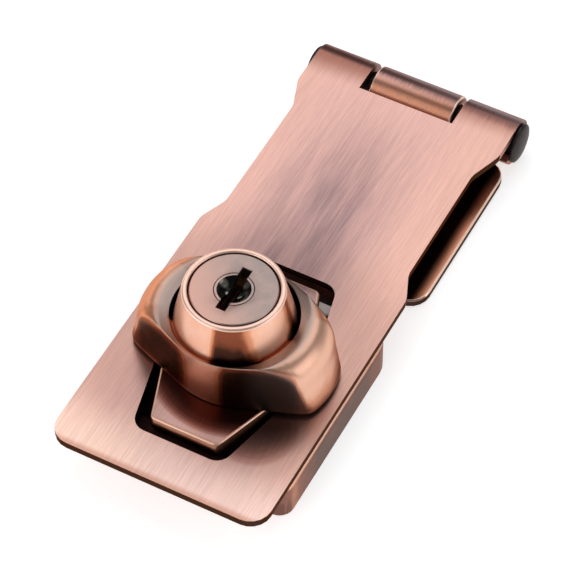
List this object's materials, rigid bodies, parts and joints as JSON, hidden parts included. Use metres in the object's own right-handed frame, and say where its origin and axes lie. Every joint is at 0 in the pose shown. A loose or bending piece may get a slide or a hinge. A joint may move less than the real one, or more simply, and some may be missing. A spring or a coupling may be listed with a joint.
{
  "type": "keyed hasp lock",
  "caption": "Keyed hasp lock for a cupboard or drawer: a hinged slotted leaf drops over a raised boss and a keyed cross knob turns to hold it down.",
  "frame": {"origin": "middle of the overall length and width, on the mounting surface", "axes": "+X across the hasp, +Y from the free end to the hinge, +Z away from the mounting surface"},
  "size_m": [0.0342, 0.0808, 0.0214],
  "materials": {
    "brushed_copper": "brushed antique copper plate",
    "satin_copper": "satin antique copper plate on a casting",
    "gunmetal": "dark polished steel",
    "dark_polish": "near black polished steel",
    "brass": "plain stamped brass",
    "steel": "plain spring steel"
  },
  "bodies": {
    "lock": {"lock_base": "satin_copper", "hasp_leaf": "brushed_copper", "hinge_pin": "gunmetal", "thrust_washer": "steel"},
    "lower_leaf": {"mounting_leaf": "brushed_copper"},
    "cross_knob": {"knob": "satin_copper", "shank_cap": "steel", "wave_washer": "steel", "spring_clip": "steel"},
    "key_plug": {"plug": "brushed_copper", "key_eye": "dark_polish", "wafer_1": "brass", "wafer_2": "brass", "wafer_3": "brass", "wafer_4": "brass", "wafer_5": "brass", "wafer_spring_1": "steel", "wafer_spring_2": "steel", "wafer_spring_3": "steel", "wafer_spring_4": "steel", "wafer_spring_5": "steel", "retainer_wafer": "brass"},
    "bolt": {"lock_bolt": "steel"}
  },
  "joints": [
    {"name": "hinge_swing", "type": "hinge", "parent": "lock", "child": "lower_leaf", "pos_m": [0, 0.03695, 0.00345], "axis": [1, 0, 0], "range_deg": [0, 180]},
    {"name": "knob_turn", "type": "hinge", "parent": "lock", "child": "cross_knob", "pos_m": [0, -0.01745, 0], "axis": [0, 0, 1], "range_deg": [0, 90]},
    {"name": "key_turn", "type": "hinge", "parent": "cross_knob", "child": "key_plug", "pos_m": [0, -0.01745, 0], "axis": [0, 0, 1], "range_deg": [0, 90]},
    {"name": "bolt_slide", "type": "slide", "parent": "cross_knob", "child": "bolt", "axis": [0, -1, 0], "range_m": [0, 0.00219]}
  ],
  "couplings": [
    {"joint": "bolt_slide", "follows": "key_turn", "m_per_rad": 0.0013955}
  ]
}
